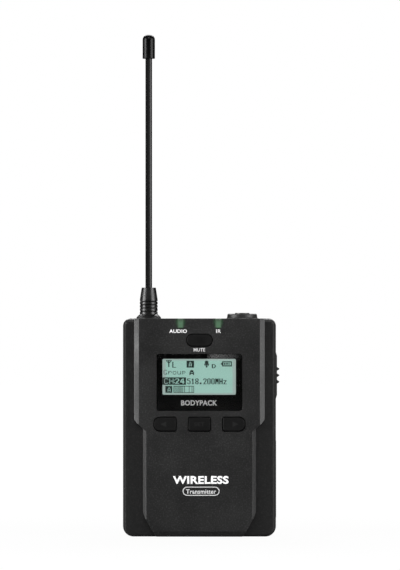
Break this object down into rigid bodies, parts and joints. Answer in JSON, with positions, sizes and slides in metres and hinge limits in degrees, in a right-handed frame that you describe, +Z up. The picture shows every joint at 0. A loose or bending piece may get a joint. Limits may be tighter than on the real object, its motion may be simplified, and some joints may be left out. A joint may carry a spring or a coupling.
{
  "type": "wireless bodypack transmitter",
  "caption": "Belt-worn radio transmitter pack with a whip antenna, a display with keys, a microphone socket, a side switch, a battery door and a belt clip.",
  "frame": {"origin": "middle of the flat bottom face, halfway between the front flanks and the back cover", "axes": "+Z up along the antenna, the display faces -Y, +X to the right when looking at the display"},
  "size_m": [0.0654, 0.0304, 0.2106],
  "materials": {
    "housing_black": "fine matte powder coat",
    "clip_black": "satin black coat on spring steel",
    "door_black": "fine texture",
    "key_black": "soft-touch",
    "lens": "polished",
    "mask_black": "printed",
    "lcd_glass": "polished",
    "backlight_green": "diffusing film",
    "frame_white": "moulded",
    "flex_amber": "film",
    "gasket_black": "foam",
    "board_green": "solder mask",
    "chip_black": "moulded",
    "shield_tin": "tinned",
    "screw_black": "black oxide",
    "screw_zinc": "zinc plated",
    "light_pipe": "translucent green",
    "led": "clear",
    "plunger_red": "moulded",
    "antenna_rubber": "satin sleeve",
    "antenna_gloss": "satin gloss",
    "washer_black": "smooth",
    "brass": "plain",
    "nickel": "nickel plated",
    "jack_black": "satin black anodised",
    "jack_barrel": "dark nickel",
    "usb_black": "moulded",
    "cell_wrap": "printed sleeve",
    "tray_black": "moulded",
    "pin_steel": "ground"
  },
  "bodies": {
    "pack": {"aa_cell_lower": "cell_wrap", "aa_cell_upper": "cell_wrap", "antenna_feed": "nickel", "antenna_insulator": "chip_black", "antenna_socket": "brass", "audio_light_pipe": "light_pipe", "battery_tray": "tray_black", "board_chips": "chip_black", "board_leds": "led", "board_screws": "screw_zinc", "clip_pin": "pin_steel", "clip_spring": "pin_steel", "cover_screws": "screw_black", "door_hinge_pin": "pin_steel", "housing": "housing_black", "ir_light_pipe": "light_pipe", "lcd_backlight": "backlight_green", "lcd_flex": "flex_amber", "lcd_frame": "frame_white", "lcd_gasket": "gasket_black", "lcd_glass": "lcd_glass", "main_board": "board_green", "mic_jack_barrel": "jack_barrel", "mic_jack_body": "chip_black", "mic_jack_collar": "jack_black", "mic_jack_contacts": "nickel", "mic_jack_nut": "screw_zinc", "minus_contact": "nickel", "minus_spring": "nickel", "plus_contact": "nickel", "rear_cover": "housing_black", "shield_can": "shield_tin", "switch_body": "chip_black", "tact_switches": "chip_black", "usb_socket": "shield_tin", "usb_tongue": "usb_black", "window_lens": "lens", "window_mask": "mask_black"},
    "left_button": {"left_key": "key_black", "left_plunger": "plunger_red"},
    "set_button": {"set_key": "key_black", "set_plunger": "plunger_red"},
    "right_button": {"right_key": "key_black", "right_plunger": "plunger_red"},
    "mute_button": {"mute_key": "key_black", "mute_plunger": "plunger_red"},
    "power_slider": {"power_knob": "door_black", "switch_lever": "plunger_red"},
    "door": {"battery_door": "door_black", "door_link_plate": "nickel", "door_spring": "nickel"},
    "clip": {"belt_clip": "clip_black"},
    "washer": {"antenna_washer": "washer_black"},
    "antenna": {"antenna_base_ring": "antenna_gloss", "antenna_boot": "antenna_rubber", "antenna_stud": "brass", "antenna_core": "brass", "antenna_rod": "antenna_rubber", "antenna_tip": "antenna_rubber"}
  },
  "joints": [
    {"name": "left_press", "type": "slide", "parent": "pack", "child": "left_button", "axis": [0, 1, 0], "range_m": [0, 0.0005], "stiffness_N_per_m": 800, "springref_m": -0.0005},
    {"name": "set_press", "type": "slide", "parent": "pack", "child": "set_button", "axis": [0, 1, 0], "range_m": [0, 0.0005], "stiffness_N_per_m": 800, "springref_m": -0.0005},
    {"name": "right_press", "type": "slide", "parent": "pack", "child": "right_button", "axis": [0, 1, 0], "range_m": [0, 0.0005], "stiffness_N_per_m": 800, "springref_m": -0.0005},
    {"name": "mute_press", "type": "slide", "parent": "pack", "child": "mute_button", "axis": [0, 1, 0], "range_m": [0, 0.0005], "stiffness_N_per_m": 800, "springref_m": -0.0005},
    {"name": "power_slide", "type": "slide", "parent": "pack", "child": "power_slider", "axis": [0, 0, -1], "range_m": [0, 0.0025]},
    {"name": "door_swing", "type": "hinge", "parent": "pack", "child": "door", "pos_m": [0.0308, 0.00755, 0.024], "axis": [0, 0, 1], "range_deg": [0, 90]},
    {"name": "clip_open", "type": "hinge", "parent": "pack", "child": "clip", "pos_m": [0, 0.015, 0.08], "axis": [1, 0, 0], "range_deg": [0, 25], "stiffness_Nm_per_rad": 0.4, "springref_deg": -20.05, "deforming": ["clip_spring"]},
    {"name": "antenna_lift", "type": "slide", "parent": "pack", "child": "washer", "axis": [0, 0, 1], "range_m": [0, 0.004]},
    {"name": "antenna_unscrew", "type": "hinge", "parent": "washer", "child": "antenna", "pos_m": [-0.0214, 0.0005, 0.0912], "axis": [0, 0, 1], "range_deg": [0, 2880]}
  ],
  "couplings": [
    {"joint": "antenna_unscrew", "follows": "antenna_lift", "rad_per_m": 12566}
  ]
}
